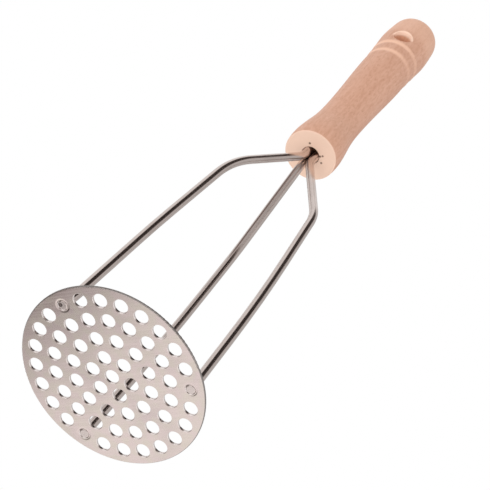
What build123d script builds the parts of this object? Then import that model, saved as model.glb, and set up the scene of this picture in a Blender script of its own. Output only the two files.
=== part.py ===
from build123d import *
import math
import os

# A hand potato masher: a perforated steel plate, three bent wire legs welded into it,
# and a turned wooden handle with the upper ends of the legs glued into its end bore.
# Millimetres. +Z runs up the handle, and the origin is the centre of the plate's
# underside, so that the masher stands on its plate.

# Mashing plate
plate_diameter = 80.0
plate_thickness = 1.2
plate_edge_round = 0.45
hole_diameter = 6.0
hole_edge_break = 0.2
rim_margin = 6.0
ring_count = 4
holes_per_ring_step = 6

# Wire legs: heights are above the plate's underside, and a leg leans in from its foot by each inset
wire_diameter = 4.0
leg_count = 3
first_leg_place = -1
foot_clearance = 0.05
foot_end_break = 0.3
foot_rise = 8.0
foot_bend_radius = 60.0
bow_inset = 2.9
bow_height = 72.0
bow_bend_radius = 1200.0
shoulder_inset = 8.4
shoulder_height = 141.3
shoulder_bend_radius = 50.0
neck_below_face = 6.4
neck_bend_radius = 18.0
tang_depth = 35.0
wire_gap = 0.2
tang_azimuth = 13.0
bend_run_share = 0.45

# Weld bead round each foot, on the plate's upper side
weld_leg = 1.5
weld_crown = 0.15

# Handle: stations are measured up the axis from its lower face, drops down from its top
cage_height = 197.0
handle_length = 140.0
face_diameter = 25.5
face_edge_round = 0.5
collar_diameter = 26.0
collar_station = 5.2
flank_diameter = 22.2
flank_station = 25.2
waist_diameter = 21.1
waist_station = 39.3
grip_diameter = 22.6
upper_grip_diameter = 23.9
first_step_drop = 43.0
second_step_drop = 34.5
step_run = 2.2
band_diameter = 24.45
palm_start_diameter = 25.2
palm_diameter = 26.2
palm_drop = 21.5
end_shoulder_diameter = 24.9
end_shoulder_height = 7.0
end_crown_diameter = 20.0
end_crown_height = 1.0

# Bore in the handle's lower end
bore_wall_clearance = 0.04
bore_below_tang = 3.0
bore_edge_break = 0.1
drill_point_angle = 118.0
adhesive_recess = 5.0
adhesive_gap = 0.03

# Hanging hole across the handle
hang_hole_diameter = 8.4
hang_hole_drop = 26.5
hang_hole_azimuth = 32.5
hang_hole_flare = 1.6
hang_flare_depth = 1.9

# Shares that keep a rounded or broken edge within its wall
edge_round_share = 0.45
edge_break_share = 0.3
flare_middle_share = 0.3
cut_overrun = 2.0

# Sizes that follow from the ones above
plate_radius = plate_diameter / 2
wire_radius = wire_diameter / 2
foot_radius = plate_radius - rim_margin
ring_pitch = foot_radius / ring_count
bow_radius = foot_radius - bow_inset
shoulder_radius = foot_radius - shoulder_inset
tang_radius = (wire_diameter + wire_gap) / (2 * math.sin(math.pi / leg_count))
neck_height = cage_height - neck_below_face
tang_top = cage_height + tang_depth
bore_radius = tang_radius + wire_radius + bore_wall_clearance
bore_depth = tang_depth + bore_below_tang
first_step_station = handle_length - first_step_drop
second_step_station = handle_length - second_step_drop
grip_station = (waist_station + first_step_station) / 2
palm_station = handle_length - palm_drop
hang_hole_station = handle_length - hang_hole_drop


def ring_azimuths(ring):
    """Evenly spaced azimuths of one ring of places, in degrees: 0, 360/n, 720/n and so on."""
    places = holes_per_ring_step * ring
    return [360 * place / places for place in range(places)]


def leg_azimuths():
    """The legs take evenly spaced places of the outer ring, in degrees."""
    places = holes_per_ring_step * ring_count
    first = 360 * first_leg_place / places
    return [first + 360 * leg / leg_count for leg in range(leg_count)]


def is_leg_place(ring, azimuth):
    """True where a leg stands in place of a mashing hole."""
    if ring < ring_count:
        return False
    turns = [abs((azimuth - leg + 180) % 360 - 180) for leg in leg_azimuths()]
    spacing = 360 / (holes_per_ring_step * ring_count)
    return min(turns) < spacing / 2


def polar(radius, azimuth, height=0.0):
    """A point from its radius, azimuth in degrees and height."""
    angle = math.radians(azimuth)
    return (radius * math.cos(angle), radius * math.sin(angle), height)


def hole_places():
    """Centres of the mashing holes: one in the middle and rings of 6, 12, 18 and so on."""
    places = [polar(0, 0)]
    for ring in range(1, ring_count + 1):
        for azimuth in ring_azimuths(ring):
            if not is_leg_place(ring, azimuth):
                places.append(polar(ring * ring_pitch, azimuth))
    return places


def edge_broken_cutter(radius, edge_break):
    """Cuts a round hole through the plate and takes the sharp edge off both rims."""
    reach = edge_break + cut_overrun
    bottom = [(0, -cut_overrun), (radius + reach, -cut_overrun), (radius, edge_break)]
    top = [(radius, plate_thickness - edge_break), (radius + reach, plate_thickness + cut_overrun)]
    outline = bottom + top + [(0, plate_thickness + cut_overrun)]
    face = make_face(Plane.XZ * Polyline(*outline, close=True))
    return revolve(face, axis=Axis.Z)


def mashing_plate():
    """A flat round plate with its mashing holes and a hole for each leg."""
    plate = Pos(0, 0, plate_thickness / 2) * Cylinder(plate_radius, plate_thickness)
    rim = plate.edges().filter_by(GeomType.CIRCLE)
    plate = fillet(rim, min(plate_edge_round, edge_round_share * plate_thickness))
    edge_break = min(hole_edge_break, edge_break_share * plate_thickness)
    mashing_cutter = edge_broken_cutter(hole_diameter / 2, edge_break)
    leg_cutter = edge_broken_cutter(wire_radius + foot_clearance, edge_break)
    cutters = [Pos(*place) * mashing_cutter for place in hole_places()]
    cutters += [Pos(*polar(foot_radius, azimuth)) * leg_cutter for azimuth in leg_azimuths()]
    return plate - cutters


def leg_corners():
    """Corners of a leg's centre line from its foot to its upper end. The upper ends sit
    in the bore as a bundle, turned a little about the handle's axis."""
    return [
        Vector(foot_radius, 0, 0),
        Vector(foot_radius, 0, foot_rise),
        Vector(bow_radius, 0, bow_height),
        Vector(shoulder_radius, 0, shoulder_height),
        Vector(*polar(tang_radius, tang_azimuth, neck_height)),
        Vector(*polar(tang_radius, tang_azimuth, tang_top)),
    ]


def fitting_radius(corners, index, wanted):
    """The wanted bend radius, or the largest that its two straight runs have room for."""
    before = corners[index] - corners[index - 1]
    after = corners[index + 1] - corners[index]
    half_turn = math.radians(before.get_angle(after)) / 2
    room = bend_run_share * min(before.length, after.length) / math.tan(half_turn)
    return min(wanted, room)


def wire_leg():
    """A bent round wire: a gently bowed lower span, a shoulder, and a straight upper end."""
    corners = leg_corners()
    bends = [foot_bend_radius, bow_bend_radius, shoulder_bend_radius, neck_bend_radius]
    radii = [fitting_radius(corners, index + 1, bend) for index, bend in enumerate(bends)]
    path = FilletPolyline(*corners, radius=radii)
    section = Plane(origin=path @ 0, z_dir=path % 0) * Circle(wire_radius)
    leg = sweep(section, path=path)
    ends = leg.edges().filter_by(GeomType.CIRCLE).sort_by(Axis.Z)
    return chamfer([ends[0], ends[-1]], min(foot_end_break, edge_break_share * wire_radius))


def weld_bead():
    """A small fillet of weld metal in the corner between a foot and the plate."""
    inner = wire_radius + foot_clearance
    low = plate_thickness
    middle = weld_leg / 2 + weld_crown
    foot = Line((inner, low), (inner + weld_leg, low))
    crown = ThreePointArc(foot @ 1, (inner + middle, low + middle), (inner, low + weld_leg))
    wall = Line(crown @ 1, foot @ 0)
    face = make_face(Plane.XZ * Curve([foot, crown, wall]))
    return Pos(foot_radius, 0, 0) * revolve(face, axis=Axis.Z)


def handle_outline():
    """Half section of the turned handle, with its lower face at height zero."""
    end_station = handle_length - end_shoulder_height
    crown_station = handle_length - end_crown_height
    face_line = Line((0, 0), (face_diameter / 2 - face_edge_round, 0))
    edge = RadiusArc(face_line @ 1, (face_diameter / 2, face_edge_round), -face_edge_round)
    grip = Spline(
        edge @ 1,
        (collar_diameter / 2, collar_station),
        (flank_diameter / 2, flank_station),
        (waist_diameter / 2, waist_station),
        (grip_diameter / 2, grip_station),
        (upper_grip_diameter / 2, first_step_station),
    )
    first_step = Line(grip @ 1, (band_diameter / 2, first_step_station + step_run))
    band = Line(first_step @ 1, (band_diameter / 2, second_step_station))
    second_step = Line(band @ 1, (palm_start_diameter / 2, second_step_station + step_run))
    crown_edge = end_crown_diameter / 2
    crown_radius = (crown_edge**2 + end_crown_height**2) / (2 * end_crown_height)
    crown_slope = math.asin(crown_edge / crown_radius)
    palm = Spline(
        second_step @ 1,
        (palm_diameter / 2, palm_station),
        (end_shoulder_diameter / 2, end_station),
        (crown_edge, crown_station),
        tangents=((0, 1), (-math.cos(crown_slope), math.sin(crown_slope))),
    )
    crown = RadiusArc(palm @ 1, (0, handle_length), -crown_radius)
    axis_line = Line(crown @ 1, face_line @ 0)
    return Curve([face_line, edge, grip, first_step, band, second_step, palm, crown, axis_line])


def handle_bore():
    """Drilled bore with its point, and the broken edge at its mouth."""
    point_depth = bore_radius / math.tan(math.radians(drill_point_angle / 2))
    mouth = bore_radius + bore_edge_break + cut_overrun
    outline = [
        (0, -cut_overrun),
        (mouth, -cut_overrun),
        (bore_radius, bore_edge_break),
        (bore_radius, bore_depth),
        (0, bore_depth + point_depth),
    ]
    return revolve(make_face(Plane.XZ * Polyline(*outline, close=True)), axis=Axis.Z)


def hang_hole():
    """Cross hole whose two mouths flare out where it leaves the handle."""
    radius = hang_hole_diameter / 2
    crest = palm_diameter / 2
    outside = crest + cut_overrun
    flare_start = (radius, crest - hang_flare_depth)
    middle_reach = radius + flare_middle_share * hang_hole_flare
    flare_middle = (middle_reach, crest - flare_middle_share * hang_flare_depth)
    flare_end = (radius + hang_hole_flare, crest)
    half = [(radius, 0), flare_start, flare_middle, flare_end, (flare_end[0], outside)]
    mirrored = [(reach, -height) for reach, height in reversed(half[1:])]
    outline = [(0, outside)] + [(0, -outside)] + mirrored + half
    cutter = revolve(make_face(Plane.XZ * Polyline(*outline, close=True)), axis=Axis.Z)
    return Rot(0, 0, hang_hole_azimuth) * Pos(0, 0, hang_hole_station) * Rot(0, 90, 0) * cutter


def handle():
    """The turned wooden handle, bored at its lower end and drilled across near its top."""
    blank = revolve(make_face(Plane.XZ * handle_outline()), axis=Axis.Z)
    return Pos(0, 0, cage_height) * (blank - handle_bore() - hang_hole())


def bore_adhesive():
    """The glue that fills the bore round the upper ends of the legs."""
    low = cage_height + adhesive_recess
    high = tang_top
    plug_radius = bore_radius - adhesive_gap
    plug = Pos(0, 0, (low + high) / 2) * Cylinder(plug_radius, high - low)
    wire_space = Cylinder(wire_radius + adhesive_gap, high - low + cut_overrun)
    for azimuth in leg_azimuths():
        place = polar(tang_radius, azimuth + tang_azimuth, (low + high) / 2)
        plug -= Pos(*place) * wire_space
    return plug


def pieces():
    """Every separate piece of the masher, by name."""
    made = {"mashing_plate": mashing_plate(), "handle": handle(), "bore_adhesive": bore_adhesive()}
    leg, weld = wire_leg(), weld_bead()
    for number, azimuth in enumerate(leg_azimuths(), start=1):
        made[f"wire_leg_{number}"] = Rot(0, 0, azimuth) * leg
        made[f"foot_weld_{number}"] = Rot(0, 0, azimuth) * weld
    return made


os.makedirs("parts", exist_ok=True)
for name, solid in pieces().items():
    export_step(solid, f"parts/{name}.step")
    print(f"{name}: {solid.volume:.1f} mm3")
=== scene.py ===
# %% [markdown]
# # A potato masher, dressed for its picture
# The masher is a perforated steel plate, three bent wire legs and a turned beech handle.
# The solid model brings every piece at its real size, standing on its plate with +Z up
# the handle. This lesson gives the pieces their finishes, bends the legs as unevenly as
# a hand bender does, and adds a studio and a camera. Lengths are in metres. The solid
# model is loaded first, because everything else is placed by it.

# %% Load the masher
import math
import bmesh
import bpy
import numpy as np
from mathutils import Matrix, Vector


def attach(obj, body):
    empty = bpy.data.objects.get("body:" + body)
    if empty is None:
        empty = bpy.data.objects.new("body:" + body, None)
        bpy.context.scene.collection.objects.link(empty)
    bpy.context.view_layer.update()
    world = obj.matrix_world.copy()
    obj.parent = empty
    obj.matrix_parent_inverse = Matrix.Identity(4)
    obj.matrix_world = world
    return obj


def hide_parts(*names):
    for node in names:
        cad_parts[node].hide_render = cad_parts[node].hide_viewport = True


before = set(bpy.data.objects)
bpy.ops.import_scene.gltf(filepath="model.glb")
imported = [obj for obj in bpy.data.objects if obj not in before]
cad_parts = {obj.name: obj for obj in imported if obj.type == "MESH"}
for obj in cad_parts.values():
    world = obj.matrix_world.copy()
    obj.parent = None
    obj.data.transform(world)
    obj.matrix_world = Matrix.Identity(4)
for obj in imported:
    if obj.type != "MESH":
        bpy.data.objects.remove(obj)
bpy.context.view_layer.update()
MILLIMETRE = 0.001
print("pieces:", ", ".join(sorted(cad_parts)))

# %% [markdown]
# ## The camera
# The masher is pictured from below: the plate comes towards the viewer and the handle
# runs away to the upper right. A camera could be turned by hand until it looks right.
# Here it is an orbit round the point that the picture is centred on, with an azimuth,
# an elevation and a roll, because those three numbers say where the viewer stands.

# %% Place the camera
VIEW_AZIMUTH, VIEW_ELEVATION, VIEW_ROLL = 146.0, -51.23, 41.43
VIEW_CENTRE = Vector((-0.00398, 0.00274, 0.11534))
VIEW_DISTANCE = 0.8646
LENS_PER_WIDTH = 2006 / 490
SENSOR_WIDTH = 36.0
CLIP_END = 20.0


def toward(azimuth, elevation):
    """Unit vector to a viewer: azimuth 0 stands on -Y and turns towards +X, and
    elevation is above the horizon."""
    a, e = math.radians(azimuth), math.radians(elevation)
    return Vector((math.sin(a) * math.cos(e), -math.cos(a) * math.cos(e), math.sin(e)))


def place_camera():
    """Looks at the picture's centre, rolled about the line of sight."""
    back = toward(VIEW_AZIMUTH, VIEW_ELEVATION)
    level = Vector((math.cos(math.radians(VIEW_AZIMUTH)), math.sin(math.radians(VIEW_AZIMUTH)), 0))
    roll = math.radians(VIEW_ROLL)
    right = level * math.cos(roll) + back.cross(level) * math.sin(roll)
    up = back.cross(right)
    camera = bpy.data.objects.new("camera", bpy.data.cameras.new("camera"))
    camera.matrix_world = Matrix.Translation(VIEW_CENTRE + back * VIEW_DISTANCE) @ Matrix(
        (right, up, back)
    ).transposed().to_4x4()
    camera.data.sensor_fit = "HORIZONTAL"
    camera.data.sensor_width = SENSOR_WIDTH
    camera.data.lens = SENSOR_WIDTH * LENS_PER_WIDTH
    camera.data.clip_end = CLIP_END
    bpy.context.scene.collection.objects.link(camera)
    bpy.context.scene.camera = camera
    return camera


camera = place_camera()
print("camera at", [round(v, 4) for v in camera.location], "lens", round(camera.data.lens, 1))

# %% [markdown]
# ## Short words for nodes
# A finish is a tree of shader nodes. Adding each node by hand takes four lines, so one
# helper adds a node, sets its settings and fills or links its inputs in a single call.

# %% Node helpers
def add(tree, kind, settings=None, **inputs):
    """Adds a node. An input's name has _ for a space, and its value may be another node's output."""
    node = tree.nodes.new("ShaderNode" + kind)
    for name, value in (settings or {}).items():
        setattr(node, name, value)
    for name, value in inputs.items():
        plug(tree, node, name.replace("_", " "), value)
    return node


def plug(tree, node, name, value):
    """Fills one input, found by name or by number, with a value or a link."""
    socket = node.inputs[int(name[3:])] if name.startswith("at ") else node.inputs[name]
    if isinstance(value, bpy.types.NodeSocket):
        tree.links.new(value, socket)
    else:
        socket.default_value = value


def maths(tree, operation, *values, clamp=False):
    """One sum on one, two or three numbers."""
    node = add(tree, "Math", {"operation": operation, "use_clamp": clamp})
    for index, value in enumerate(values):
        plug(tree, node, f"at {index}", value)
    return node.outputs[0]


def vectors(tree, operation, *values):
    """One sum on vectors, whose answer is a vector or a number."""
    node = add(tree, "VectorMath", {"operation": operation})
    for index, value in enumerate(values):
        plug(tree, node, f"at {index}", value)
    return node.outputs["Value" if operation in ("DOT_PRODUCT", "LENGTH", "DISTANCE") else "Vector"]


def ease(tree, value, start, end, low=0.0, high=1.0):
    """Goes smoothly from low to high while the value goes from start to end."""
    node = add(tree, "MapRange", {"interpolation_type": "SMOOTHSTEP"}, Value=value)
    for name, number in (("From Min", start), ("From Max", end), ("To Min", low), ("To Max", high)):
        plug(tree, node, name, number)
    return node.outputs["Result"]


def blend_colours(tree, share, first, second, how="MIX"):
    """Mixes two colours by a share."""
    node = add(tree, "Mix", {"data_type": "RGBA", "blend_type": how}, at_0=share, at_6=first, at_7=second)
    return node.outputs[2]


def stretched(tree, place, scale, shift=(0, 0, 0)):
    """A place measured with another ruler along each axis."""
    return add(tree, "Mapping", Vector=place, Location=shift, Scale=scale).outputs[0]


def fresh_tree(name):
    """A new material's empty tree, with a Principled BSDF on its output."""
    material = bpy.data.materials.new(name)
    material.use_nodes = True
    tree = material.node_tree
    tree.nodes.clear()
    shader = add(tree, "BsdfPrincipled")
    add(tree, "OutputMaterial", Surface=shader.outputs["BSDF"])
    return material, tree, shader


# %% [markdown]
# ## The studio
# The masher was pictured in front of plain white, in very even light that comes a little
# from below. Polished steel shows its surroundings, and those decide how it looks:
# bright walls give the pale sides of the wires, and the dark stripe down their middle is
# the unlit part of the room above and behind the viewer. Dark cards could be hung round
# the object. A world with a few soft dark patches does the same, in fixed directions,
# and the dim parts are a little warm, as a room's shadows are.

# %% The room
ROOM_LIGHT = 0.90
ROOM_TILT, ROOM_TILT_SHARE = toward(140.0, -68.0), 0.38
MIRRORED_LEVEL = 0.97
DIM_COLOUR, DIM_LEVELS = (1.0, 0.76, 0.70, 1), (0.04, 0.55)
MIRRORED_PATCHES = (
    # azimuth, elevation, full within, gone beyond (degrees), brightness left
    (145.0, 51.0, 20.0, 33.0, 0.04),
    (125.0, 36.0, 10.0, 24.0, 0.45),
    (150.0, 4.0, 25.0, 60.0, 0.50),
    (146.0, -48.0, 8.0, 30.0, 0.18),
    (246.0, 35.0, 25.0, 60.0, 0.58),
    (30.0, 30.0, 20.0, 60.0, 0.88),
    (74.0, 17.0, 12.0, 34.0, 0.22),
    (352.0, -46.0, 13.0, 17.7, 0.05),
    (22.0, -18.0, 12.0, 40.0, 0.30),
)


def light_room():
    """White where it is seen, patched where it is mirrored, and a gentle slope of light
    for matt surfaces."""
    world = bpy.data.worlds.new("studio")
    world.use_nodes = True
    tree = world.node_tree
    tree.nodes.clear()
    direction = add(tree, "TexCoord").outputs["Generated"]
    mirrored = MIRRORED_LEVEL
    for azimuth, elevation, inner, outer, left in MIRRORED_PATCHES:
        facing = vectors(tree, "DOT_PRODUCT", direction, toward(azimuth, elevation))
        kept = ease(tree, facing, math.cos(math.radians(outer)), math.cos(math.radians(inner)), 1.0, left)
        mirrored = maths(tree, "MULTIPLY", mirrored, kept)
    tilt = vectors(tree, "DOT_PRODUCT", direction, ROOM_TILT)
    slope = maths(tree, "MULTIPLY_ADD", tilt, ROOM_TILT_SHARE, 1.0)
    matt = maths(tree, "MULTIPLY", slope, ROOM_LIGHT)
    path = add(tree, "LightPath").outputs
    seen = maths(tree, "MAXIMUM", path["Is Camera Ray"], path["Is Transmission Ray"])
    level = add(tree, "Mix", {"data_type": "FLOAT"}, at_0=path["Is Glossy Ray"], at_2=matt, at_3=mirrored)
    strength = maths(tree, "MAXIMUM", level.outputs[0], seen)
    colour = blend_colours(tree, ease(tree, strength, *DIM_LEVELS), DIM_COLOUR, (1, 1, 1, 1))
    background = add(tree, "Background", Color=colour, Strength=strength)
    add(tree, "OutputWorld", Surface=background.outputs[0])
    bpy.context.scene.world = world


light_room()
print("room:", len(MIRRORED_PATCHES), "soft patches")

# %% [markdown]
# Three softboxes add direction: one low at the side, which lights the handle's lower
# face, one above, which throws the soft shadow on the floor, and a faint one that lifts
# the handle's darker side. They are left out of mirrors, where their hard square edges
# would show on the wires.

# %% The lamps
LAMPS = (
    # name, azimuth, elevation, distance, side, watts
    ("side_softbox", 80.0, -28.0, 0.9, 0.7, 1.5),
    ("top_softbox", 20.0, 62.0, 1.1, 0.8, 2.4),
    ("fill_softbox", 205.0, -10.0, 0.9, 0.7, 0.55),
)
LAMP_AIM = Vector((0, 0, 0.16))


def hang_lamp(name, azimuth, elevation, distance, side, watts):
    """A square softbox that faces the middle of the masher."""
    lamp = bpy.data.objects.new(name, bpy.data.lights.new(name, "AREA"))
    lamp.data.size, lamp.data.energy = side, watts
    back = toward(azimuth, elevation)
    lamp.location = LAMP_AIM + back * distance
    lamp.rotation_euler = back.to_track_quat("Z", "Y").to_euler()
    lamp.visible_camera = lamp.visible_glossy = False
    bpy.context.scene.collection.objects.link(lamp)
    return lamp


for lamp_row in LAMPS:
    print(hang_lamp(*lamp_row).name)

# %% [markdown]
# ## The floor
# The masher stands on a pale floor, which keeps its shadow. The picture is taken from
# below, so the floor is a one-way sheet: a viewer above sees a matt surface that fades
# into the white room, and everything else passes through it.

# %% Lay the floor
FLOOR_DROP = 0.4 * MILLIMETRE
FLOOR_REACH = 3.0
FLOOR_FADE = (0.35, 1.3)
FLOOR_COLOUR = (0.86, 0.86, 0.86, 1)


def lay_floor():
    """A large square just under the plate."""
    corners = FLOOR_REACH * np.array([(-1, -1, 0), (1, -1, 0), (1, 1, 0), (-1, 1, 0)], float)
    corners[:, 2] = -FLOOR_DROP
    mesh = bpy.data.meshes.new("floor")
    mesh.from_pydata(corners.tolist(), [], [(0, 1, 2, 3)])
    floor = bpy.data.objects.new("floor", mesh)
    bpy.context.scene.collection.objects.link(floor)
    material = bpy.data.materials.new("floor")
    material.use_nodes = True
    tree = material.node_tree
    tree.nodes.clear()
    reach = vectors(tree, "LENGTH", add(tree, "TexCoord").outputs["Object"])
    near = ease(tree, reach, *FLOOR_FADE, 1.0, 0.0)
    above = maths(tree, "SUBTRACT", 1.0, add(tree, "NewGeometry").outputs["Backfacing"])
    shown = maths(tree, "MULTIPLY", above, add(tree, "LightPath").outputs["Is Camera Ray"])
    share = maths(tree, "MULTIPLY", shown, near)
    matt = add(tree, "BsdfDiffuse", Color=FLOOR_COLOUR)
    clear = add(tree, "BsdfTransparent")
    mixed = add(tree, "MixShader", at_0=share, at_1=clear.outputs[0], at_2=matt.outputs[0])
    add(tree, "OutputMaterial", Surface=mixed.outputs[0])
    mesh.materials.append(material)
    return floor


print(lay_floor().name, "lies", FLOOR_DROP, "m under the plate")

# %% [markdown]
# ## Meshes from formulas
# A bent wire and a weld bead are both closed surfaces: a ring of points that is carried
# along a line. Every point is worked out at once as an array of rows and columns, and
# one helper puts faces between neighbours. Where a row is a single point, its copies are
# merged, so that the skin is closed there too.

# %% Grid to mesh
MERGE_DISTANCE = 0.0001 * MILLIMETRE
SHARP_EDGE = math.radians(40)


def skin(name, grid, looped=False):
    """Faces on a grid whose columns go round. Its rows close into a loop too, or end in a
    point at both ends."""
    rows, columns = grid.shape[:2]
    index = np.arange(rows * columns).reshape(rows, columns)
    low = index if looped else index[:-1]
    high = np.roll(index, -1, axis=0) if looped else index[1:]
    quads = np.stack([low, np.roll(low, -1, axis=1), np.roll(high, -1, axis=1), high], axis=-1)
    mesh = bpy.data.meshes.new(name)
    mesh.from_pydata(grid.reshape(-1, 3).tolist(), [], quads.reshape(-1, 4).tolist())
    return mesh


def close_skin(mesh):
    """Merges the points of each pole and turns every face outwards."""
    shell = bmesh.new()
    shell.from_mesh(mesh)
    bmesh.ops.remove_doubles(shell, verts=shell.verts, dist=MERGE_DISTANCE)
    bmesh.ops.recalc_face_normals(shell, faces=shell.faces)
    open_edges = sum(not edge.is_manifold for edge in shell.edges)
    shell.to_mesh(mesh)
    shell.free()
    mesh.shade_smooth()
    mesh.set_sharp_from_angle(angle=SHARP_EDGE)
    return open_edges


def mark(mesh, name, grid):
    """Keeps a place for every point, for a pattern that follows the surface."""
    layer = mesh.attributes.new(name, "FLOAT_VECTOR", "POINT")
    layer.data.foreach_set("vector", grid.reshape(-1))


def show(mesh, node):
    """Makes the mesh an object that stands for a node of the solid model."""
    piece = bpy.data.objects.new(mesh.name, mesh)
    bpy.context.scene.collection.objects.link(piece)
    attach(piece, "root")
    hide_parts(node)
    return piece


# %% [markdown]
# ## The wire legs
# Each leg is a length of 4 mm wire, bent by hand round formers: it leaves the plate
# square, bows gently inwards, turns over a shoulder and enters the handle. No two legs
# are bent quite alike, and that is what keeps them from looking drawn by a machine: one
# leans a little just over the plate. The line of each is straight runs joined by arcs, so
# its places and directions follow from seven corners and five bend radii. The ring of
# points then stays square to that line.

# %% The line of a leg
FOOT_RADIUS, FOOT_RISE, LEAN_RISE, TANG_TOP = 34.0, 2.0, 8.0, 232.0
TANG_RADIUS, TANG_AZIMUTH = 2.4249, math.radians(13.0)
TANG = (TANG_RADIUS * math.cos(TANG_AZIMUTH), TANG_RADIUS * math.sin(TANG_AZIMUTH))
FOOT_BEND, LEAN_BEND, NECK_BEND = 15.0, 60.0, 18.0
LEGS = (
    # node and azimuth; lean over the plate (outwards, sideways); bow and shoulder (outwards,
    # sideways, up); neck height; bow and shoulder bends
    ("wire_leg_1", -15.0, (33.3, 0.55), (30.16, 0.02, 73.4), (25.46, 0.26, 142.8), 191.3, (1204, 72)),
    ("wire_leg_2", 105.0, (33.95, 0.02), (31.76, 0.35, 68.9), (25.39, -0.01, 141.5), 190.3, (1200, 36)),
    ("wire_leg_3", 225.0, (33.95, -0.02), (31.36, -0.37, 73.8), (25.76, 0.87, 139.4), 188.2, (1234, 52)),
)
ARC_STEP, ARC_TURN = 1.5, math.radians(1.5)


def bent_line(corners, bends):
    """Places and directions along straight runs joined by arcs.

    At a corner the run turns from direction a to direction b through an angle T. The arc
    of radius R starts R tan(T/2) before the corner, and after an angle t its place is
    start + R (sin t a + (1 - cos t) n), with n the unit vector across a towards b.
    """
    runs = np.diff(corners, axis=0)
    runs /= np.linalg.norm(runs, axis=1, keepdims=True)
    places, directions = [corners[:1]], [runs[:1]]
    for corner, a, b, bend in zip(corners[1:-1], runs[:-1], runs[1:], bends):
        turn = math.acos(a @ b)
        across = (b - a * math.cos(turn)) / math.sin(turn)
        steps = 2 + math.ceil(min(bend * turn / ARC_STEP, turn / ARC_TURN))
        t = np.linspace(0, turn, steps)[:, None]
        start = corner - a * bend * math.tan(turn / 2)
        places.append(start + bend * (np.sin(t) * a + (1 - np.cos(t)) * across))
        directions.append(np.cos(t) * a + np.sin(t) * across)
    return np.vstack(places + [corners[-1:]]), np.vstack(directions + [runs[-1:]])


def leg_corners(lean, bow, shoulder, neck):
    """Seven corners of a leg that stands at azimuth 0: outwards, sideways and up, in millimetres."""
    foot = [(FOOT_RADIUS, 0, 0), (FOOT_RADIUS, 0, FOOT_RISE), (*lean, LEAN_RISE)]
    return np.array(foot + [bow, shoulder, (*TANG, neck), (*TANG, TANG_TOP)], float)


# %% [markdown]
# The wire was cropped, and its cut ends were broken with a file, so its radius falls away
# over the last 0.3 mm. Below, one foot still has the small dimple that the crop left.
# The skin is a list of stations, each with a distance along the line and a radius: the
# flat end, its rounded rim, the whole line, and the same again at the other end.

# %% Bend the legs
WIRE_RADIUS, END_BREAK = 2.0, 0.3
SIDES, END_ROWS, RIM_ROWS = 48, 12, 6
DIMPLE_LEG, DIMPLE_PLACE = "wire_leg_1", (0.72, -0.77)
DIMPLE_WIDTH, DIMPLE_DEPTH = 0.62, 0.55


def turned(points, azimuth):
    """Turns points about the masher's axis."""
    a = math.radians(azimuth)
    return points @ np.array([(math.cos(a), math.sin(a), 0), (-math.sin(a), math.cos(a), 0), (0, 0, 1)])


def end_stations():
    """Distance from a cut end and radius: across the flat end, then round its broken rim."""
    flat = WIRE_RADIUS - END_BREAK
    t = np.linspace(0, math.pi / 2, RIM_ROWS)
    rim_run, rim_radius = END_BREAK * (1 - np.cos(t)), flat + END_BREAK * np.sin(t)
    end_radius = np.linspace(0, flat, END_ROWS)[:-1]
    run = np.concatenate([0 * end_radius, rim_run])
    radius = np.concatenate([end_radius, rim_radius])
    return run, radius


def bent_wire(name, azimuth, lean, bow, shoulder, neck, bends):
    """Point(s, v) = line(s) + r(s) (cos v side + sin v front), with side and front square
    to the line. The dimple in one foot is depth exp(-(distance / width)^4) deep."""
    corners = leg_corners(lean, bow, shoulder, neck)
    line, direction = bent_line(corners, [FOOT_BEND, LEAN_BEND, *bends, NECK_BEND])
    along = np.concatenate([[0], np.cumsum(np.linalg.norm(np.diff(line, axis=0), axis=1))])
    end_run, end_radius = end_stations()
    middle = along[(along > END_BREAK) & (along < along[-1] - END_BREAK)]
    run = np.concatenate([end_run, middle, along[-1] - end_run[::-1]])[:, None]
    full = np.full(len(middle), WIRE_RADIUS)
    radius = np.concatenate([end_radius, full, end_radius[::-1]])[:, None, None]
    centre = np.hstack([np.interp(run, along, line[:, axis]) for axis in range(3)])
    forward = np.hstack([np.interp(run, along, direction[:, axis]) for axis in range(3)])
    forward /= np.linalg.norm(forward, axis=1, keepdims=True)
    side = np.cross([0.0, 1.0, 0.0], forward)
    side /= np.linalg.norm(side, axis=1, keepdims=True)
    front = np.cross(forward, side)
    v = np.linspace(0, 2 * math.pi, SIDES, endpoint=False)[None, :, None]
    ring = np.cos(v) * side[:, None] + np.sin(v) * front[:, None]
    grid = centre[:, None] + radius * ring
    if name == DIMPLE_LEG:
        away = (turned(grid, azimuth) - turned(centre[:1], azimuth))[..., :2] - DIMPLE_PLACE
        reach = np.hypot(away[..., 0], away[..., 1]) / DIMPLE_WIDTH
        depth = (run < END_BREAK / 2) * DIMPLE_DEPTH * np.exp(-(reach**4))
        grid = grid + depth[..., None] * [0, 0, 1]
    straight = np.concatenate([radius * np.cos(v), radius * np.sin(v), run[:, :, None] + 0 * v], axis=2)
    return turned(grid, azimuth) * MILLIMETRE, straight * MILLIMETRE


def make_leg(node, azimuth, lean, bow, shoulder, neck, bends):
    """A leg, marked with the place that each point had before the wire was bent."""
    grid, straight = bent_wire(node, azimuth, lean, bow, shoulder, neck, bends)
    mesh = skin("bent_" + node, grid)
    mark(mesh, "straight_wire", straight)
    open_edges = close_skin(mesh)
    print(mesh.name, len(mesh.polygons), "faces, open edges:", open_edges)
    return show(mesh, node)


legs = [make_leg(*row) for row in LEGS]

# %% [markdown]
# ## The weld beads
# A bead of weld metal fills the corner between each foot and the plate. A torch lays it
# down in small overlapping pools, which leave ripples round the bead. The section is a
# low convex arc, and its size swells once for each pool.

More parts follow.
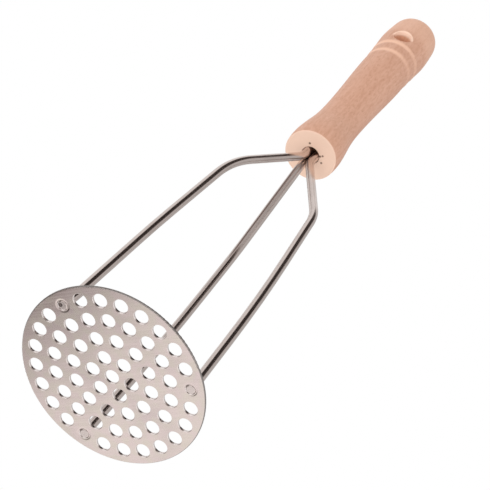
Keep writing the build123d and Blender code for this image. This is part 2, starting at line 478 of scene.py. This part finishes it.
# %% Lay the beads
PLATE_TOP = 1.2
BEAD_INNER, BEAD_LEG, BEAD_CROWN = 2.05, 1.5, 0.15
POOLS, POOL_SWELL, POOL_LEAN, POOL_MEAN = 15, 0.05, 1.1, 0.6
CROWN_LOW, CROWN_SWELL = 0.7, 0.6
SWAY, SWAY_TURNS = 0.05, 9
BEAD_ROWS, BEAD_COLUMNS = 12, 180


def bead_grid(azimuth, start):
    """An arc carried round the foot: v goes round, and p from the wire down to the plate.

    pool(v, p) = |sin(pools (v + start) / 2 + lean sin(pi p))|, and the arc's size is
    leg (1 + swell (pool - mean) sin(pi p) + sway sin(2 v + turns start)).
    """
    v = np.linspace(0, 2 * math.pi, BEAD_COLUMNS, endpoint=False)
    p = np.linspace(0, 1, BEAD_ROWS)[:, None]
    pool = np.abs(np.sin(POOLS * (v + start) / 2 + POOL_LEAN * np.sin(math.pi * p)))
    sway = SWAY * np.sin(2 * v + SWAY_TURNS * start)
    size = BEAD_LEG * (1 + POOL_SWELL * (pool - POOL_MEAN) * np.sin(math.pi * p) + sway)
    bulge = 2 * BEAD_CROWN * np.sin(math.pi * p) * (CROWN_LOW + CROWN_SWELL * pool)
    out = BEAD_INNER + size * p + bulge / math.sqrt(2)
    up = size * (1 - p) + bulge / math.sqrt(2)
    back = np.array([(BEAD_INNER, 0.0), (BEAD_INNER, BEAD_LEG / 2)])[:, :, None] + 0 * v
    out, up = np.vstack([out, back[:, 0]]), np.vstack([up, back[:, 1]])
    grid = np.stack([FOOT_RADIUS + out * np.cos(v), out * np.sin(v), PLATE_TOP + up], axis=-1)
    return turned(grid, azimuth) * MILLIMETRE


def lay_bead(node, azimuth):
    """A rippled bead round one foot."""
    mesh = skin("rippled_" + node, bead_grid(azimuth, math.radians(azimuth)), looped=True)
    open_edges = close_skin(mesh)
    print(mesh.name, len(mesh.polygons), "faces, open edges:", open_edges)
    return show(mesh, node)


beads = [lay_bead(f"foot_weld_{number}", row[1]) for number, row in enumerate(LEGS, start=1)]

# %% [markdown]
# ## Effects that several finishes share
# Drawn wire and rolled sheet both carry fine lines along the way that the metal moved,
# and every metal piece that is used and wiped has soft dull patches. Each effect is one
# node group with named inputs, built once and placed in every material that needs it.

# %% Node groups
FINER_SCALE, LINE_SHARES, LINE_LEVELS = 3.7, (0.6, 0.4), (0.3, 0.7)
WIPED_LEVELS = (0.42, 0.68)


def new_group(name, inputs, outputs):
    """An empty node group with named sockets, given as name and kind."""
    group = bpy.data.node_groups.new(name, "ShaderNodeTree")
    for direction, sockets in (("INPUT", inputs), ("OUTPUT", outputs)):
        for socket, kind in sockets:
            group.interface.new_socket(socket, in_out=direction, socket_type="NodeSocket" + kind)
    return group, group.nodes.new("NodeGroupInput").outputs, group.nodes.new("NodeGroupOutput")


def fine_lines_group():
    """Lines: noise that is stretched along the way the metal moved, in a coarse and a fine set."""
    group, given, out = new_group(
        "fine_lines", [("Place", "Vector"), ("Stretch", "Vector"), ("Scale", "Float")], [("Lines", "Float")]
    )
    place = vectors(group, "MULTIPLY", given["Place"], given["Stretch"])
    coarse = add(group, "TexNoise", Vector=place, Scale=given["Scale"], Detail=2.0).outputs["Fac"]
    finer = maths(group, "MULTIPLY", given["Scale"], FINER_SCALE)
    fine = add(group, "TexNoise", Vector=place, Scale=finer, Detail=2.0).outputs["Fac"]
    shares = [maths(group, "MULTIPLY", lines, share) for lines, share in zip((coarse, fine), LINE_SHARES)]
    group.links.new(ease(group, maths(group, "ADD", *shares), *LINE_LEVELS), out.inputs["Lines"])
    return group


def wiped_group():
    """Wiped: large soft patches, broken up by finer ones, where hands and cloths dulled the surface."""
    group, given, out = new_group("wiped", [("Place", "Vector"), ("Size", "Float")], [("Wiped", "Float")])
    scale = maths(group, "DIVIDE", 1.0, given["Size"])
    patches = add(group, "TexNoise", Vector=given["Place"], Scale=scale, Detail=4.0, Roughness=0.6)
    group.links.new(ease(group, patches.outputs["Fac"], *WIPED_LEVELS), out.inputs["Wiped"])
    return group


FINE_LINES, WIPED = fine_lines_group(), wiped_group()


def use(tree, group, **inputs):
    """Places a node group and fills its inputs."""
    node = add(tree, "Group", {"node_tree": group})
    for name, value in inputs.items():
        plug(tree, node, name, value)
    return node.outputs[0]


print("groups:", FINE_LINES.name, WIPED.name)

# %% [markdown]
# ## Beech
# The handle is pale beech, turned on a lathe and left nearly bare. Up close beech shows
# soft bands of growth rings, and short darker flecks, about half a millimetre wide and
# two long, that run with the trunk. The pattern is worked out from the place in the
# wood, as if the handle were cut from one solid block, so it meets itself all round.

# %% Beech colours and the block
BEECH_SIDE = (0.625, 0.338, 0.228, 1)
BEECH_LIGHT = (0.675, 0.382, 0.268, 1)
BEECH_RING = (0.535, 0.265, 0.165, 1)
BEECH_FLECK = (0.42, 0.190, 0.105, 1)
BEECH_CUT = (0.830, 0.585, 0.455, 1)
BEECH_PALE_AND_HIGHLIGHT = (0.880, 0.540, 0.385, 1)
BEECH_MOUTH_LIT = (0.920, 0.635, 0.490, 1)
BEECH_BORE_SHADE = (0.800, 0.455, 0.295, 1)
BEECH_PIT_SHADE = (0.10, 0.045, 0.02, 1)
PITH = (-0.055, 0.030, 0)
RING_SCALE, RING_STRETCH, RING_WOBBLE = 120.0, (1, 1, 0.04), 2.5
STREAK_SCALE, STREAK_STRETCH = 420.0, (1, 1, 0.06)
MOTTLE_SCALE, MOTTLE_STRETCH = 1100.0, (1, 1, 0.30)
FLECK_SCALE, FLECK_STRETCH = 1300.0, (1, 1, 0.24)
FLECK_EDGE, FLECKS_KEPT = (0.14, 0.40), (0.55, 0.95)


def beech_block(tree, place):
    """Masks for a block of beech whose trunk runs along Z: growth rings, streaks and flecks."""
    ringed = stretched(tree, place, RING_STRETCH, PITH)
    streaked, mottled, flecked = (
        stretched(tree, place, stretch) for stretch in (STREAK_STRETCH, MOTTLE_STRETCH, FLECK_STRETCH)
    )
    kind = {"wave_type": "RINGS", "rings_direction": "Z"}
    rings = add(tree, "TexWave", kind, Vector=ringed, Scale=RING_SCALE, Distortion=RING_WOBBLE,
                Detail=2.0, Detail_Scale=0.8)
    streaks = add(tree, "TexNoise", Vector=streaked, Scale=STREAK_SCALE, Detail=3.0)
    mottle = add(tree, "TexNoise", Vector=mottled, Scale=MOTTLE_SCALE, Detail=2.0)
    cells = add(tree, "TexVoronoi", Vector=flecked, Scale=FLECK_SCALE)
    fleck = ease(tree, cells.outputs["Distance"], *FLECK_EDGE, 1.0, 0.0)
    drawn = add(tree, "SeparateColor", Color=cells.outputs["Color"]).outputs[0]
    flecks = maths(tree, "MULTIPLY", fleck, ease(tree, drawn, *FLECKS_KEPT))
    return rings.outputs["Fac"], streaks.outputs["Fac"], mottle.outputs["Fac"], flecks


# %% [markdown]
# Where the lathe cut across the fibres the wood is paler and less red. On the flat lower
# face the surface's own direction gives that: the more it faces along the trunk, the
# paler it is. The two small steps near the top, the rounded palm above them and the
# flared mouths of the cross hole are found by their places, because their slopes are
# slight. The palm is paler cross-cut wood. The steps carry a painted highlight, strongest
# on the side that faces the light. The upper side of each flared mouth is paler end grain
# with a painted pool of light from below, and the wall deep in the hole is painted darker
# as its shade. The lower face also has a few small pits, left where the glue was squeezed
# out and cleaned off, and painted nearly black as their shade.

# %% Beech finish
PITS = (
    # outwards in millimetres, azimuth, size
    (6.24, 18.3, 0.75),
    (6.24, 103.5, 0.70),
    (6.24, 138.6, 0.70),
    (4.9, 106.5, 0.80),
)
FACE_HEIGHT, PIT_CORE = 197.0, 0.4
STEPS, STEP_REACH = (294.2, 303.3), (0.25, 2.5)
HIGHLIGHT_SIDE, HIGHLIGHT_FACING, HIGHLIGHT_SHARES = math.radians(5.0), (0.0, 0.9), (0.22, 0.80)
PALM_RUN, PALM_SHARE = (312.0, 322.0), 0.36
HOLE_CENTRE, HOLE_AZIMUTH = Vector((0, 0, 310.5)) * MILLIMETRE, math.radians(32.5)
HOLE_REACH, SHADED_DEPTH, MOUTH_LOW = (5.3, 5.7), (10.0, 11.2), (309.5, 311.5)
STREAK_LEVELS, MOTTLE_LEVELS, SHINE_LEVELS = (0.3, 0.7), (0.40, 0.72), (0.2, 0.8)
RING_SHARE, MOTTLE_SHARE, FLECK_SHARE = 0.10, 0.55, 0.42
CUT_CURVE, CUT_LEVELS, CUT_SHARE = 0.7, (0.12, 0.95), 0.92
HOLE_SHARE, PIT_SHADE_SHARE = 0.9, 0.92
BEECH_ROUGHNESS, HANDLED_SIZE, HANDLED_POLISH = (0.60, 0.50), 30.0 * MILLIMETRE, 0.06
BEECH_RELIEF, RELIEF_STRENGTH, FLECK_DEPTH = 0.06 * MILLIMETRE, 0.35, 0.8


def pale_and_highlight_mask(tree, place):
    """Part way to one on the two steps, as a painted highlight that is strongest on the side facing the
    light, and less on the palm, which is paler cross-cut wood.
    """
    height = maths(tree, "DIVIDE", add(tree, "SeparateXYZ", Vector=place).outputs["Z"], MILLIMETRE)
    mask = ease(tree, height, *PALM_RUN, 0.0, PALM_SHARE)
    normal = add(tree, "NewGeometry").outputs["Normal"]
    # Painted highlight: the steps are lighter on the side that faces the light.
    side = vectors(tree, "DOT_PRODUCT", normal, (math.cos(HIGHLIGHT_SIDE), math.sin(HIGHLIGHT_SIDE), 0))
    lit_side = ease(tree, side, *HIGHLIGHT_FACING, *HIGHLIGHT_SHARES)
    for step in STEPS:
        away = maths(tree, "ABSOLUTE", maths(tree, "SUBTRACT", height, step))
        slope = maths(tree, "MULTIPLY", ease(tree, away, *STEP_REACH, 1.0, 0.0), lit_side)
        mask = maths(tree, "MAXIMUM", mask, slope)
    return mask


def hole_light_and_shade_masks(tree, place):
    """Painted shade on the wall of the cross hole, deep inside, and a painted pool of light, on paler end
    grain, on the upper side of its flared mouths.
    """
    axis = (math.cos(HOLE_AZIMUTH), math.sin(HOLE_AZIMUTH), 0)
    arm = vectors(tree, "SUBTRACT", place, HOLE_CENTRE)
    away = vectors(tree, "LENGTH", vectors(tree, "CROSS_PRODUCT", arm, axis))
    away = maths(tree, "DIVIDE", away, MILLIMETRE)
    depth = maths(tree, "ABSOLUTE", vectors(tree, "DOT_PRODUCT", arm, axis))
    depth = maths(tree, "DIVIDE", depth, MILLIMETRE)
    height = maths(tree, "DIVIDE", add(tree, "SeparateXYZ", Vector=place).outputs["Z"], MILLIMETRE)
    inside = ease(tree, away, *HOLE_REACH, 1.0, 0.0)
    # Painted shade deep in the hole, and a painted pool of light from below on the upper side of the
    # mouths.
    wall = maths(tree, "MULTIPLY", inside, ease(tree, depth, *SHADED_DEPTH, 1.0, 0.0))
    mouth = maths(tree, "MULTIPLY", maths(tree, "SUBTRACT", inside, wall), ease(tree, height, *MOUTH_LOW))
    return wall, mouth


def pit_shade_mask(tree, place):
    """One where the pits of the lower face are painted dark as their shade, each the region within a small
    distance of its middle.
    """
    mask = 0.0
    for outwards, azimuth, size in PITS:
        a = math.radians(azimuth)
        middle = Vector((outwards * math.cos(a), outwards * math.sin(a), FACE_HEIGHT)) * MILLIMETRE
        away = vectors(tree, "DISTANCE", place, middle)
        pit = ease(tree, away, PIT_CORE * size * MILLIMETRE, size * MILLIMETRE, 1.0, 0.0)
        mask = maths(tree, "MAXIMUM", mask, pit)
    return mask


def beech():
    """Growth rings, streaks and flecks, paler where the cut crosses the fibres, with painted light on the
    steps and the hole's mouths and painted shade in the hole and the pits.
    """
    material, tree, shader = fresh_tree("beech")
    place = add(tree, "TexCoord").outputs["Object"]
    rings, streaks, mottle, fleck = beech_block(tree, place)
    colour = blend_colours(tree, ease(tree, streaks, *STREAK_LEVELS), BEECH_SIDE, BEECH_LIGHT)
    colour = blend_colours(tree, maths(tree, "MULTIPLY", rings, RING_SHARE), colour, BEECH_RING)
    colour = blend_colours(tree, ease(tree, mottle, *MOTTLE_LEVELS, 0.0, MOTTLE_SHARE), colour, BEECH_RING)
    colour = blend_colours(tree, maths(tree, "MULTIPLY", fleck, FLECK_SHARE), colour, BEECH_FLECK)
    facing = add(tree, "SeparateXYZ", Vector=add(tree, "NewGeometry").outputs["Normal"]).outputs["Z"]
    across = maths(tree, "POWER", maths(tree, "ABSOLUTE", facing), CUT_CURVE)
    cut = ease(tree, across, *CUT_LEVELS)
    colour = blend_colours(tree, maths(tree, "MULTIPLY", cut, CUT_SHARE), colour, BEECH_CUT)
    # Paler cross-cut wood on the palm and a painted highlight on the steps.
    colour = blend_colours(tree, pale_and_highlight_mask(tree, place), colour, BEECH_PALE_AND_HIGHLIGHT)
    wall, mouth = hole_light_and_shade_masks(tree, place)
    # Painted light on the upper side of the mouths and painted shade deep in the hole.
    colour = blend_colours(tree, maths(tree, "MULTIPLY", mouth, HOLE_SHARE), colour, BEECH_MOUTH_LIT)
    colour = blend_colours(tree, maths(tree, "MULTIPLY", wall, HOLE_SHARE), colour, BEECH_BORE_SHADE)
    # Painted shade: the pits are painted nearly black and have no relief of their own.
    pits = maths(tree, "MULTIPLY", pit_shade_mask(tree, place), PIT_SHADE_SHARE)
    colour = blend_colours(tree, pits, colour, BEECH_PIT_SHADE)
    tree.links.new(colour, shader.inputs["Base Color"])
    handled = use(tree, WIPED, Place=place, Size=HANDLED_SIZE)
    polish = maths(tree, "MULTIPLY", handled, -HANDLED_POLISH)
    rough = maths(tree, "ADD", ease(tree, streaks, *SHINE_LEVELS, *BEECH_ROUGHNESS), polish)
    tree.links.new(rough, shader.inputs["Roughness"])
    height = maths(tree, "SUBTRACT", streaks, maths(tree, "MULTIPLY", fleck, FLECK_DEPTH))
    bump = add(tree, "Bump", Height=height, Strength=RELIEF_STRENGTH, Distance=BEECH_RELIEF)
    tree.links.new(bump.outputs[0], shader.inputs["Normal"])
    return material


# %% [markdown]
# ## Steel
# The wires are drawn through a die, which leaves faint lines along them, and the plate
# is pressed from rolled sheet with a satin face. A bead of weld is duller and rougher.
# All three are bare metal, so the look comes from how sharply each place mirrors. The
# plate's outer rim was sheared, and a sheared edge is dull; it is also painted darker than
# the face, as a painted dark reflection. The holes were punched and polished, so their
# walls are only a little duller. The sheet has a faint straw tint in places, and the heat
# of welding left a shallow ring round each foot. The cropped ends of the wires are as
# pale as the plate, and the dimple in one of them is painted dark as its shade.

# %% Steels
WIRE_COLOUR = ((0.70, 0.605, 0.565, 1), (0.64, 0.55, 0.51, 1))
PLATE_COLOUR = ((0.765, 0.640, 0.612, 1), (0.695, 0.578, 0.565, 1))
PLATE_STRAW, STRAW_PATCH = (0.745, 0.665, 0.585, 1), 5.0 * MILLIMETRE
STRAW_LEVELS, STRAW_SHARE = (0.36, 0.64), 0.75
SHEARED_DARK_REFLECTION_COLOUR, SHEARED_ROUGHNESS = (0.36, 0.325, 0.31, 1), 0.30
POLISHED_COLOUR, POLISHED_ROUGHNESS = (0.86, 0.775, 0.745, 1), 0.09
RIM_START, WALL_FACING = (39.1 * MILLIMETRE, 39.5 * MILLIMETRE), (0.86, 0.985)
HEATED_RADIUS, HEATED_WIDTH, HEATED_SAG = 2.45, 0.42, 0.035
CROPPED_COLOUR, CROPPED_END = (0.72, 0.625, 0.590, 1), (0.1 * MILLIMETRE, 0.4 * MILLIMETRE)
# The painted shade of the dimple in one foot: its colour and reach.
DIMPLE_SHADE_COLOUR, DIMPLE_SHADE_REACH = (0.13, 0.098, 0.09, 1), (0.70 * MILLIMETRE, 1.15 * MILLIMETRE)
DIMPLE_SHADE_SHARE, DIMPLE_LIFT = 0.9, 0.3
DIMPLE_SPOT = np.array([FOOT_RADIUS + DIMPLE_PLACE[0], DIMPLE_PLACE[1], DIMPLE_LIFT])
DIMPLE_CENTRE = turned(DIMPLE_SPOT, LEGS[0][1]) * MILLIMETRE
WELD_COLOUR = ((0.50, 0.455, 0.42, 1), (0.36, 0.31, 0.27, 1))
WIPED_SIZE, WIPED_DULLNESS = 20.0 * MILLIMETRE, 0.05


def punched_edges(tree):
    """Masks of the sheared outer rim and of the holes' walls, which are where the surface
    turns away from up and down."""
    facing = add(tree, "SeparateXYZ", Vector=add(tree, "NewGeometry").outputs["True Normal"]).outputs["Z"]
    wall = ease(tree, maths(tree, "ABSOLUTE", facing), *WALL_FACING, 1.0, 0.0)
    reach = vectors(tree, "LENGTH", add(tree, "TexCoord").outputs["Object"])
    rim = maths(tree, "MULTIPLY", wall, ease(tree, reach, *RIM_START))
    return rim, maths(tree, "SUBTRACT", wall, rim)


def heated_rings(tree):
    """One in the middle of a shallow ring round each foot: exp(-((distance - radius) / width)^2)."""
    place = add(tree, "TexCoord").outputs["Object"]
    rings = 0.0
    for row in LEGS:
        foot = turned(np.array([FOOT_RADIUS, 0, 0]), row[1]) * MILLIMETRE
        away = vectors(tree, "DISTANCE", place, foot)
        off = maths(tree, "SUBTRACT", away, HEATED_RADIUS * MILLIMETRE)
        off = maths(tree, "DIVIDE", off, HEATED_WIDTH * MILLIMETRE)
        square = maths(tree, "MULTIPLY", off, off)
        ring = maths(tree, "EXPONENT", maths(tree, "MULTIPLY", square, -1.0))
        rings = maths(tree, "ADD", rings, ring)
    return rings


def steel(name, colours, shine, scale, stretch, depth, attribute=None, sheet=False):
    """Bare steel with fine lines along its grain and wiped patches, which both change how
    it mirrors. A wire's places come from its attribute, and only sheet has punched edges."""
    material, tree, shader = fresh_tree(name)
    source = add(tree, "Attribute", {"attribute_name": attribute}) if attribute else add(tree, "TexCoord")
    place = source.outputs["Vector" if attribute else "Object"]
    lines = use(tree, FINE_LINES, Place=place, Stretch=stretch, Scale=scale)
    wiped = use(tree, WIPED, Place=place, Size=WIPED_SIZE)
    shader.inputs["Metallic"].default_value = 1.0
    colour = blend_colours(tree, wiped, *colours)
    dull = maths(tree, "MULTIPLY", wiped, WIPED_DULLNESS)
    rough = maths(tree, "ADD", ease(tree, lines, 0.0, 1.0, *shine), dull)
    height = maths(tree, "MULTIPLY", lines, depth)
    if sheet:
        tint = add(tree, "TexNoise", Vector=place, Scale=1 / STRAW_PATCH, Detail=2.0).outputs["Fac"]
        straw = ease(tree, tint, *STRAW_LEVELS, 0.0, STRAW_SHARE)
        colour = blend_colours(tree, straw, colour, PLATE_STRAW)
        rim, polished = punched_edges(tree)
        colour = blend_colours(tree, polished, colour, POLISHED_COLOUR)
        # Painted dark reflection on the sheared rim, which is also duller metal.
        colour = blend_colours(tree, rim, colour, SHEARED_DARK_REFLECTION_COLOUR)
        rough = maths(tree, "MULTIPLY_ADD", polished, POLISHED_ROUGHNESS, rough)
        rough = maths(tree, "MULTIPLY_ADD", rim, SHEARED_ROUGHNESS, rough)
        height = maths(tree, "MULTIPLY_ADD", heated_rings(tree), -HEATED_SAG, height)
    if attribute:
        cropped = ease(tree, add(tree, "SeparateXYZ", Vector=place).outputs["Z"], *CROPPED_END, 1.0, 0.0)
        colour = blend_colours(tree, cropped, colour, CROPPED_COLOUR)
        # Painted shade: the dimple in one foot is painted dark.
        away = vectors(tree, "DISTANCE", add(tree, "TexCoord").outputs["Object"], DIMPLE_CENTRE)
        dimple = ease(tree, away, *DIMPLE_SHADE_REACH, DIMPLE_SHADE_SHARE, 0.0)
        colour = blend_colours(tree, dimple, colour, DIMPLE_SHADE_COLOUR)
    tree.links.new(colour, shader.inputs["Base Color"])
    tree.links.new(rough, shader.inputs["Roughness"])
    bump = add(tree, "Bump", Height=height, Strength=1.0, Distance=MILLIMETRE)
    tree.links.new(bump.outputs[0], shader.inputs["Normal"])
    return material


# %% [markdown]
# The glue in the bore is clear amber epoxy, set hard, with small ripples and bubbles in
# its surface. It is only seen by looking up between the wires.

# %% Glue
GLUE_COLOURS = ((0.22, 0.13, 0.055, 1), (0.36, 0.24, 0.12, 1))
CLOUD_SCALE, CLOUD_LEVELS = 600.0, (0.35, 0.7)
GLUE_LEVELS, GLUE_ROUGHNESS = (0.3, 0.7), (0.25, 0.45)
BUBBLE_SCALE, BUBBLE_LEVELS = 1800.0, (0.1, 0.4)
BUBBLE_STRENGTH, BUBBLE_RELIEF = 0.4, 0.08 * MILLIMETRE


def set_glue():
    """Amber glue, cloudy in places, with bubbles."""
    material, tree, shader = fresh_tree("set_glue")
    place = add(tree, "TexCoord").outputs["Object"]
    cloud = add(tree, "TexNoise", Vector=place, Scale=CLOUD_SCALE, Detail=3.0).outputs["Fac"]
    bubble = add(tree, "TexVoronoi", Vector=place, Scale=BUBBLE_SCALE).outputs["Distance"]
    colour = blend_colours(tree, ease(tree, cloud, *CLOUD_LEVELS), *GLUE_COLOURS)
    tree.links.new(colour, shader.inputs["Base Color"])
    tree.links.new(ease(tree, cloud, *GLUE_LEVELS, *GLUE_ROUGHNESS), shader.inputs["Roughness"])
    relief = ease(tree, bubble, *BUBBLE_LEVELS)
    bump = add(tree, "Bump", Height=relief, Strength=BUBBLE_STRENGTH, Distance=BUBBLE_RELIEF)
    tree.links.new(bump.outputs[0], shader.inputs["Normal"])
    return material


# %% [markdown]
# ## Dress the pieces
# Each node of the solid model has one slot with a plain name. The slot's name picks the
# finish, and the bent legs and the beads get theirs directly.

# %% Put the finishes on
finishes = {
    "handle_wood": beech(),
    "wire_steel": steel(
        "drawn_wire", WIRE_COLOUR, shine=(0.15, 0.22), scale=2200.0, stretch=(1, 1, 0.01), depth=0.0025,
        attribute="straight_wire",
    ),
    "plate_steel": steel(
        "satin_plate", PLATE_COLOUR, shine=(0.12, 0.18), scale=1500.0, stretch=(1, 0.02, 1), depth=0.0005,
        sheet=True,
    ),
    "weld_steel": steel(
        "weld_metal", WELD_COLOUR, shine=(0.32, 0.50), scale=1500.0, stretch=(1, 1, 1), depth=0.0075
    ),
    "adhesive": set_glue(),
}
for name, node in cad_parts.items():
    for slot in node.material_slots:
        slot.material = finishes[slot.material.name.split(".")[0]]
for pieces, finish in ((legs, "wire_steel"), (beads, "weld_steel")):
    for piece in pieces:
        piece.data.materials.append(finishes[finish])
print("finishes:", ", ".join(material.name for material in finishes.values()))

# %% [markdown]
# ## The end
# Colours are shown as they are, with no film look.

# %% The end
bpy.context.scene.view_settings.view_transform = "Standard"
